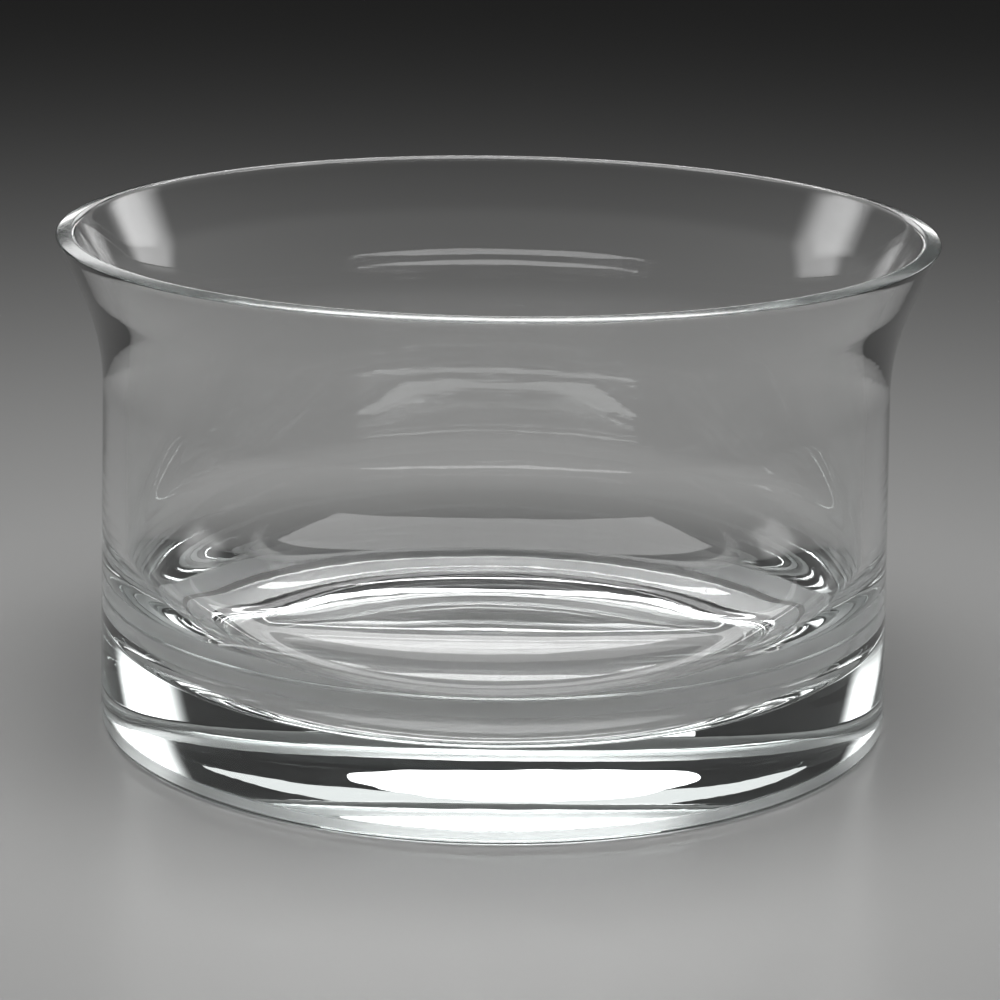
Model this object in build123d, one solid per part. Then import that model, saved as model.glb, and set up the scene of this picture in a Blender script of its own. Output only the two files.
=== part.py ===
from build123d import *
import os

# Rose bowl vase: one piece of clear glass, round about the Z axis.
# Millimetres. The origin is the centre of the standing face, and +Z points up to the open mouth.
# Diameters and heights are to the sharp corners of the section, before their edges are rounded.

# Outer form: a body that draws in a little towards the neck, then a flare up to the rim
overall_height = 102.5
base_diameter = 163.8
neck_diameter = 159.8
rim_diameter = 178.0
flare_height = 21.5
flare_radius = 48.0
foot_rounding = 2.2

# Lip, ground to a flat land that falls outwards to a crisp edge, with its inner edge melted round
lip_width = 3.6
lip_fall = 0.7
lip_outer_rounding = 0.3
lip_inner_rounding = 1.2

# Inner form: the wall thickens downwards and turns through a wide corner into a solid base
neck_wall = 4.6
body_wall = 5.4
inside_flare_radius = 44.0
inside_corner_radius = 28.0
floor_thickness = 12.6
floor_dish = 0.6

# Underside, hollowed so that the bowl stands on a ground ring
standing_ring_width = 9.0
underside_hollow = 2.0

# Corners of the half section, as radius and height
base_radius = base_diameter / 2
neck_radius = neck_diameter / 2
rim_radius = rim_diameter / 2
neck_height = overall_height - flare_height
foot_corner = (base_radius, 0)
neck_corner = (neck_radius, neck_height)
lip_outer_edge = (rim_radius, overall_height - lip_fall)
lip_inner_edge = (rim_radius - lip_width, overall_height)
inner_neck_corner = (neck_radius - neck_wall, neck_height)
inner_base_corner = (base_radius - body_wall, floor_thickness + floor_dish)
floor_centre = (0, floor_thickness)
hollow_centre = (0, underside_hollow)
hollow_edge = (base_radius - foot_rounding - standing_ring_width, 0)


def half_section():
    """The glass on one side of the axis, with sharp corners."""
    level = (1, 0)
    outline = Curve() + [
        Polyline(hollow_edge, foot_corner, neck_corner, lip_outer_edge, lip_inner_edge),
        Polyline(lip_inner_edge, inner_neck_corner, inner_base_corner),
        TangentArc(floor_centre, inner_base_corner, tangent=level),
        Line(floor_centre, hollow_centre),
        TangentArc(hollow_centre, hollow_edge, tangent=level),
    ]
    return make_face(outline)


def rounded(face, corners):
    """The face with each listed corner rounded to its own radius."""
    for point, radius in corners:
        face = fillet(face.vertices().sort_by_distance(point)[0], radius)
    return face


def glass_bowl():
    """The whole vessel, turned from its half section."""
    section = rounded(
        half_section(),
        [
            (foot_corner, foot_rounding),
            (neck_corner, flare_radius),
            (lip_outer_edge, lip_outer_rounding),
            (lip_inner_edge, lip_inner_rounding),
            (inner_neck_corner, inside_flare_radius),
            (inner_base_corner, inside_corner_radius),
        ],
    )
    bowl = revolve(Plane.XZ * section, axis=Axis.Z)
    bowl.label = "glass_bowl"
    return bowl


os.makedirs("parts", exist_ok=True)
export_step(glass_bowl(), "parts/glass_bowl.step")
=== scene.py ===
import cmath
import math
from typing import NamedTuple

import bpy
import numpy as np
from mathutils import Matrix, Vector


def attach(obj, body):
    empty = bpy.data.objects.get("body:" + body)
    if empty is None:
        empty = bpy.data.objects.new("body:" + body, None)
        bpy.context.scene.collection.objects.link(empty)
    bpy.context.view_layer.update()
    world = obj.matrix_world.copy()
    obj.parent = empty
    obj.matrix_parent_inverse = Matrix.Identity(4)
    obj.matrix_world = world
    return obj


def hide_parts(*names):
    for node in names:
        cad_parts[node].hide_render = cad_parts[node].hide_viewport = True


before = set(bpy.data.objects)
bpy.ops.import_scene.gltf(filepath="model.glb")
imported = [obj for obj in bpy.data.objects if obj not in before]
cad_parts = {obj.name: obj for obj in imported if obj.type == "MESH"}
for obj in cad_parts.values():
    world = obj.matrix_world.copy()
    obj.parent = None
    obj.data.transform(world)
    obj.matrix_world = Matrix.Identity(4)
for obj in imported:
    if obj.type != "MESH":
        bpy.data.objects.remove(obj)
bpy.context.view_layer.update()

# Rose bowl of clear glass, round about the Z axis, on a pale studio floor. Metres.
# A point of the half section is a complex number: radius + height * 1j.
NODE = "glass_bowl"
MM = 0.001

# The section's sizes, as in the solid
OVERALL_HEIGHT = 102.5 * MM
BASE_RADIUS = 81.9 * MM
NECK_RADIUS = 79.9 * MM
RIM_RADIUS = 89.0 * MM
FLARE_HEIGHT = 21.5 * MM
FLARE_RADIUS = 48.0 * MM
FOOT_ROUNDING = 2.2 * MM
LIP_WIDTH = 3.6 * MM
LIP_FALL = 0.7 * MM
LIP_OUTER_ROUNDING = 0.3 * MM
LIP_INNER_ROUNDING = 1.2 * MM
NECK_WALL = 4.6 * MM
BODY_WALL = 5.4 * MM
INSIDE_FLARE_RADIUS = 44.0 * MM
INSIDE_CORNER_RADIUS = 28.0 * MM
FLOOR_THICKNESS = 12.6 * MM
FLOOR_DISH = 0.6 * MM
STANDING_RING_WIDTH = 9.0 * MM
UNDERSIDE_HOLLOW = 2.0 * MM

# How finely the glass is meshed
SEGMENTS = 288
LONGEST_STEP = 1.25 * MM
SHARPEST_TURN = math.radians(9)
SHORTEST_STEP = 0.0001 * MM

# Waves that hot working leaves in the glass: lobes round the bowl, and wave lengths down the section.
# They fade out over these distances from the ground lip, the standing ring and the axis.
WAVE_SEED = 11
WAVE_COUNT = 14
WAVE_LOBES = (2, 15)
WAVE_LENGTHS = (16 * MM, 60 * MM)
WAVE_HEIGHT = 0.0015 * MM
LIP_FADE = 12 * MM
RING_FADE = 8 * MM
AXIS_FADE = 30 * MM

# Clear glass with a faint cool tint in its depth
GLASS_COLOUR = (1, 1, 1, 1)
GLASS_IOR = 1.52
TINT_COLOUR = (0.84, 0.955, 0.933, 1)
TINT_DENSITY = 3.0

# Fine striations that the turning mould leaves on the wall. They set in between two radii on the floor.
STRIATION_TURNS = 8.0
STRIATION_STEP = 0.9 * MM
STRIATION_DEPTH = 0.0015 * MM
STRIATION_DETAIL = 0.5
STRIATION_RADII = (50 * MM, 72 * MM)

# Satin lands at the lip and the standing ring: how rough, and the heights between which they set in
LIP_ROUGHNESS = 0.12
LIP_SATIN_HEIGHTS = (OVERALL_HEIGHT - LIP_FALL - 0.1 * MM, OVERALL_HEIGHT - LIP_FALL)
RING_ROUGHNESS = 0.35
RING_SATIN_HEIGHTS = (0.2 * MM, 0.05 * MM)

# The studio floor lies a hair below the standing ring, so that the two faces don't coincide
FLOOR_HALF_SIZE = 8.0
FLOOR_GAP = 0.02 * MM
FLOOR_COLOUR = (0.46, 0.46, 0.455, 1)
FLOOR_ROUGHNESS = 0.32
FLOOR_SPECULAR = 0.35

# The photograph's camera, placed round a point on the bowl's axis
CAMERA_PIVOT = Vector((0, 0, 51.0 * MM))
CAMERA_DISTANCE = 676.4 * MM
CAMERA_ELEVATION = math.radians(14.94)
CAMERA_PITCH = math.radians(0.5)
CAMERA_YAW = math.radians(0.09)
CAMERA_ROLL = math.radians(0.81)
CAMERA_LENS_MM = 117.95
CAMERA_SENSOR_MM = 36
CAMERA_CLIP_START = 10 * MM

# Light passes many faces of glass before it reaches the camera
MOST_BOUNCES = 32
GLOSSY_BOUNCES = 16


class Softbox(NamedTuple):
    """Where a light stands, its size, and what it lights. Degrees and metres.

    Azimuth 0 is behind the bowl as the camera sees it, and 90 to its right.
    soft_edge is the share of the width and the height over which the glow fades at each edge.
    """
    azimuth: float
    elevation: float
    distance: float
    width: float
    height: float
    brightness: float
    shape: str = "RECTANGLE"
    soft_edge: float = 0.0
    spread: float = 180.0
    lights: str = "bowl"


# The floor has a light of its own, so that the lights round the bowl draw its edges on an even ground
WORLD_BRIGHTNESS = 0.02
SOFTBOXES = {
    "floor_softbox": Softbox(180, 84, 0.6, 0.62, 0.4, 2.6, spread=120, lights="floor"),
    "top_softbox": Softbox(0, 86, 0.6, 1.1, 0.4, 3.4),
    "back_softbox": Softbox(-3.4, 18.3, 1.7, 0.87, 0.28, 2.6, shape="ELLIPSE"),
    "back_strip": Softbox(-3, 23.5, 1.7, 2.1, 0.12, 0.9, shape="ELLIPSE"),
    "rim_softbox": Softbox(0, 7.5, 1.7, 0.9, 0.05, 6),
    "left_softbox": Softbox(-58, 20, 0.8, 0.36, 0.34, 3, soft_edge=0.3),
    "right_softbox": Softbox(45, 19, 0.8, 0.36, 0.34, 3, soft_edge=0.3),
    "lip_strip": Softbox(0, 40, 1.0, 0.5, 0.07, 9),
    "front_strip": Softbox(180, 14, 0.6, 1.3, 0.035, 4),
}


def arc(centre, first, last):
    """Points on the shorter arc from first to last."""
    sweep = cmath.phase((last - centre) / (first - centre))
    length = abs(first - centre) * abs(sweep)
    count = max(math.ceil(abs(sweep) / SHARPEST_TURN), math.ceil(length / LONGEST_STEP))
    return [centre + (first - centre) * cmath.exp(1j * sweep * k / count) for k in range(count + 1)]


def corner(before, point, after, radius):
    """Points of the arc that rounds the corner at point, between straight runs."""
    back = (before - point) / abs(before - point)
    ahead = (after - point) / abs(after - point)
    half_angle = abs(cmath.phase(ahead / back)) / 2
    bisector = (back + ahead) / abs(back + ahead)
    reach = radius / math.tan(half_angle)
    centre = point + bisector * radius / math.sin(half_angle)
    return arc(centre, point + back * reach, point + ahead * reach)


def dish(middle, edge):
    """Points of a shallow arc, level at its middle on the axis, out to its edge."""
    rise = (edge - middle).imag
    radius = abs(edge - middle) ** 2 / (2 * rise)
    return arc(middle + radius * 1j, middle, edge)


def joined(stretches):
    """One line of points through all stretches, with the straight runs between them divided."""
    points = list(stretches[0])
    for stretch in stretches[1:]:
        start, end = points[-1], stretch[0]
        count = max(1, math.ceil(abs(end - start) / LONGEST_STEP))
        points += [start + (end - start) * k / count for k in range(1, count)]
        points += stretch
    later = [p for before, p in zip(points, points[1:]) if abs(p - before) > SHORTEST_STEP]
    return np.array([points[0], *later])


def half_section():
    """The glass on one side of the axis, from the middle of the underside round to that of the floor."""
    neck_height = OVERALL_HEIGHT - FLARE_HEIGHT
    hollow_edge = complex(BASE_RADIUS - FOOT_ROUNDING - STANDING_RING_WIDTH, 0)
    foot = complex(BASE_RADIUS, 0)
    neck = complex(NECK_RADIUS, neck_height)
    lip_outside = complex(RIM_RADIUS, OVERALL_HEIGHT - LIP_FALL)
    lip_inside = complex(RIM_RADIUS - LIP_WIDTH, OVERALL_HEIGHT)
    inner_neck = complex(NECK_RADIUS - NECK_WALL, neck_height)
    inner_base = complex(BASE_RADIUS - BODY_WALL, FLOOR_THICKNESS + FLOOR_DISH)
    floor_middle = complex(0, FLOOR_THICKNESS)
    floor_edge = complex(inner_base.real - INSIDE_CORNER_RADIUS, FLOOR_THICKNESS)
    inside_corner = corner(inner_neck, inner_base, floor_edge, INSIDE_CORNER_RADIUS)
    return joined([
        dish(complex(0, UNDERSIDE_HOLLOW), hollow_edge),
        corner(hollow_edge, foot, neck, FOOT_ROUNDING),
        corner(foot, neck, lip_outside, FLARE_RADIUS),
        corner(neck, lip_outside, lip_inside, LIP_OUTER_ROUNDING),
        corner(lip_outside, lip_inside, inner_neck, LIP_INNER_ROUNDING),
        corner(lip_inside, inner_neck, inner_base, INSIDE_FLARE_RADIUS),
        inside_corner,
        dish(floor_middle, inside_corner[-1])[::-1],
    ])


def free_surface(section):
    """1 where the glass kept its hot-worked skin, falling to 0 at the lip, the ring and the axis."""
    from_lip = np.clip((OVERALL_HEIGHT - section.imag) / LIP_FADE, 0, 1)
    from_ring = np.clip(section.imag / RING_FADE, 0, 1)
    from_axis = np.clip(section.real / AXIS_FADE, 0, 1)
    return from_lip * from_ring * from_axis


def waves(section, theta):
    """How far each point of the section moves out along its normal, at each angle round the bowl."""
    along = np.concatenate([[0], np.cumsum(np.abs(np.diff(section)))])
    normal = -1j * np.gradient(section, along)
    normal /= np.abs(normal)
    rng = np.random.default_rng(WAVE_SEED)
    height = np.zeros((len(section), len(theta)))
    for _ in range(WAVE_COUNT):
        lobes = rng.integers(*WAVE_LOBES)
        length = rng.uniform(*WAVE_LENGTHS)
        phase, shift = rng.uniform(0, 2 * math.pi, 2)
        down = np.cos(2 * math.pi * along / length + shift)
        height += WAVE_HEIGHT * np.outer(down, np.cos(lobes * theta + phase))
    return normal[:, None] * height * free_surface(section)[:, None]


def link(name, data):
    """A new object in the scene."""
    ob = bpy.data.objects.new(name, data)
    bpy.context.scene.collection.objects.link(ob)
    return ob


def lathe_mesh(name, section):
    """A closed mesh turned from the half section, with the waves of hot-worked glass."""
    theta = np.linspace(0, 2 * math.pi, SEGMENTS, endpoint=False)
    rings = (section[:, None] + waves(section, theta))[1:-1]
    x, y, z = rings.real * np.cos(theta), rings.real * np.sin(theta), rings.imag
    verts = np.stack([x, y, z], 2).reshape(-1, 3).tolist()
    bottom, top = len(verts), len(verts) + 1
    verts += [(0, 0, section[0].imag), (0, 0, section[-1].imag)]
    faces = []
    for i in range(len(rings)):
        for j in range(SEGMENTS):
            a, b = i * SEGMENTS + j, i * SEGMENTS + (j + 1) % SEGMENTS
            if i == 0:
                faces.append((bottom, b, a))
            if i == len(rings) - 1:
                faces.append((top, a, b))
            else:
                faces.append((a, b, b + SEGMENTS, a + SEGMENTS))
    mesh = bpy.data.meshes.new(name)
    mesh.from_pydata(verts, [], faces)
    mesh.shade_smooth()
    return mesh


class Nodes:
    """Short ways to add shader nodes to a material or a light. Any input takes a value or a socket."""

    def __init__(self, owner, shader="Principled BSDF", output="Material Output"):
        owner.use_nodes = True
        self.tree = owner.node_tree
        self.shader = self.tree.nodes[shader]
        self.output = self.tree.nodes[output]

    def add(self, kind, inputs, **settings):
        node = self.tree.nodes.new(kind)
        for key, value in settings.items():
            setattr(node, key, value)
        for key, value in inputs.items():
            self.put(node.inputs[key], value)
        return node

    def put(self, socket, value):
        if isinstance(value, bpy.types.NodeSocket):
            self.tree.links.new(value, socket)
        else:
            socket.default_value = value

    def shade(self, **inputs):
        """Sets the shader's inputs, with an underscore for each space in their names."""
        for key, value in inputs.items():
            self.put(self.shader.inputs[key.replace("_", " ")], value)

    def math(self, operation, *values):
        return self.add("ShaderNodeMath", dict(enumerate(values)), operation=operation).outputs[0]

    def vector(self, operation, *values):
        return self.add("ShaderNodeVectorMath", dict(enumerate(values)), operation=operation)

    def ramp(self, value, start, end):
        """0 up to start, 1 past end, and a smooth step between them. start may be above end."""
        inputs = {"Value": value, "From Min": start, "From Max": end}
        return self.add("ShaderNodeMapRange", inputs, interpolation_type="SMOOTHSTEP").outputs[0]


def clear_glass():
    mat = bpy.data.materials.new("clear_glass")
    n = Nodes(mat)
    place = n.add("ShaderNodeTexCoord", {}).outputs["Object"]
    split = n.add("ShaderNodeSeparateXYZ", {0: place})
    outward = n.add("ShaderNodeCombineXYZ", {0: split.outputs[0], 1: split.outputs[1]}).outputs[0]
    height = split.outputs[2]
    direction = n.vector("NORMALIZE", outward).outputs[0]
    radius = n.vector("LENGTH", outward).outputs["Value"]
    along = n.math("ADD", radius, height)

    # Striations run round the wall: long cells along the circumference, short ones down the section
    around = n.vector("MULTIPLY", direction, (STRIATION_TURNS, STRIATION_TURNS, 0)).outputs[0]
    down = n.add("ShaderNodeCombineXYZ", {2: n.math("DIVIDE", along, STRIATION_STEP)}).outputs[0]
    cells = {"Vector": n.vector("ADD", around, down).outputs[0], "Scale": 1.0, "Detail": STRIATION_DETAIL}
    striations = n.add("ShaderNodeTexNoise", cells).outputs[0]
    on_wall = n.ramp(radius, *STRIATION_RADII)
    bump = n.add("ShaderNodeBump", {"Height": striations, "Strength": on_wall, "Distance": STRIATION_DEPTH})

    # The ground lip and the ring that the bowl stands on are satin, and the rest is polished
    lip = n.math("MULTIPLY", n.ramp(height, *LIP_SATIN_HEIGHTS), LIP_ROUGHNESS)
    ring = n.math("MULTIPLY", n.ramp(height, *RING_SATIN_HEIGHTS), RING_ROUGHNESS)
    n.shade(Roughness=n.math("ADD", lip, ring), Normal=bump.outputs[0])
    n.shade(Base_Color=GLASS_COLOUR, IOR=GLASS_IOR, Transmission_Weight=1.0)
    tint = n.add("ShaderNodeVolumeAbsorption", {"Color": TINT_COLOUR, "Density": TINT_DENSITY})
    n.put(n.output.inputs["Volume"], tint.outputs[0])
    return mat


def pale_floor():
    mat = bpy.data.materials.new("pale_floor")
    Nodes(mat).shade(Base_Color=FLOOR_COLOUR, Roughness=FLOOR_ROUGHNESS, Specular_IOR_Level=FLOOR_SPECULAR)
    return mat


def glass_bowl():
    bowl = link("rose_bowl_glass", lathe_mesh("rose_bowl_glass", half_section()))
    bowl.data.materials.append(clear_glass())
    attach(bowl, "root")
    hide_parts(NODE)
    return bowl


def studio_floor():
    mesh = bpy.data.meshes.new("studio_floor")
    signs = ((-1, -1), (1, -1), (1, 1), (-1, 1))
    corners = [(x * FLOOR_HALF_SIZE, y * FLOOR_HALF_SIZE, 0) for x, y in signs]
    mesh.from_pydata(corners, [], [(0, 1, 2, 3)])
    mesh.materials.append(pale_floor())
    floor = link("studio_floor", mesh)
    floor.location.z = -FLOOR_GAP
    return floor


def soften(light, edge):
    """Fades the glow over the given share of the light's width and height, as a diffuser does."""
    n = Nodes(light, "Emission", "Light Output")
    split = n.add("ShaderNodeSeparateXYZ", {0: n.add("ShaderNodeNewGeometry", {}).outputs["Parametric"]})
    glow = 1.0
    for axis in (0, 1):
        place = split.outputs[axis]
        fade = n.math("MULTIPLY", n.ramp(place, 0, edge), n.ramp(place, 1, 1 - edge))
        glow = n.math("MULTIPLY", fade, glow)
    n.shade(Strength=glow)


def softbox(name, spec, lit):
    """A soft light aimed at the bowl, unseen by the camera."""
    a, e = math.radians(spec.azimuth), math.radians(spec.elevation)
    towards = Vector((math.sin(a) * math.cos(e), math.cos(a) * math.cos(e), math.sin(e)))
    light = bpy.data.lights.new(name, "AREA")
    light.shape = spec.shape
    light.size, light.size_y = spec.width, spec.height
    light.spread = math.radians(spec.spread)
    area = spec.width * spec.height * (math.pi / 4 if spec.shape == "ELLIPSE" else 1)
    light.energy = math.pi * area * spec.brightness
    if spec.soft_edge:
        soften(light, spec.soft_edge)
    box = link(name, light)
    box.location = CAMERA_PIVOT + spec.distance * towards
    box.rotation_euler = (-towards).to_track_quat("-Z", "Y").to_euler()
    box.visible_camera = False
    box.light_linking.receiver_collection = lit


def studio_light(bowl, floor):
    world = bpy.data.worlds.new("studio")
    world.use_nodes = True
    background = world.node_tree.nodes["Background"]
    background.inputs["Color"].default_value = (WORLD_BRIGHTNESS, WORLD_BRIGHTNESS, WORLD_BRIGHTNESS, 1)
    bpy.context.scene.world = world
    lit = {}
    for key, ob in (("bowl", bowl), ("floor", floor)):
        lit[key] = bpy.data.collections.new(f"lit_{key}")
        lit[key].objects.link(ob)
    for name, spec in SOFTBOXES.items():
        softbox(name, spec, lit[spec.lights])


def photo_camera():
    """The camera that the photograph's outlines fit, with its slight roll."""
    away = Vector((0, -math.cos(CAMERA_ELEVATION), math.sin(CAMERA_ELEVATION)))
    heading = Vector((math.sin(CAMERA_YAW), math.cos(CAMERA_YAW), 0))
    pitch = CAMERA_ELEVATION + CAMERA_PITCH
    ahead = heading * math.cos(pitch) - Vector((0, 0, math.sin(pitch)))
    level = Vector((math.cos(CAMERA_YAW), -math.sin(CAMERA_YAW), 0))
    upright = level.cross(ahead)
    right = level * math.cos(CAMERA_ROLL) + upright * math.sin(CAMERA_ROLL)
    up = upright * math.cos(CAMERA_ROLL) - level * math.sin(CAMERA_ROLL)
    camera = bpy.data.cameras.new("photo_camera")
    camera.sensor_width = CAMERA_SENSOR_MM
    camera.lens = CAMERA_LENS_MM
    camera.clip_start = CAMERA_CLIP_START
    ob = link("photo_camera", camera)
    turn = Matrix((right, up, -ahead)).transposed().to_4x4()
    ob.matrix_world = Matrix.Translation(CAMERA_PIVOT + CAMERA_DISTANCE * away) @ turn
    bpy.context.scene.camera = ob


studio_light(glass_bowl(), studio_floor())
photo_camera()
scene = bpy.context.scene
scene.view_settings.view_transform = "Standard"
scene.cycles.max_bounces = MOST_BOUNCES
scene.cycles.transmission_bounces = MOST_BOUNCES
scene.cycles.glossy_bounces = GLOSSY_BOUNCES
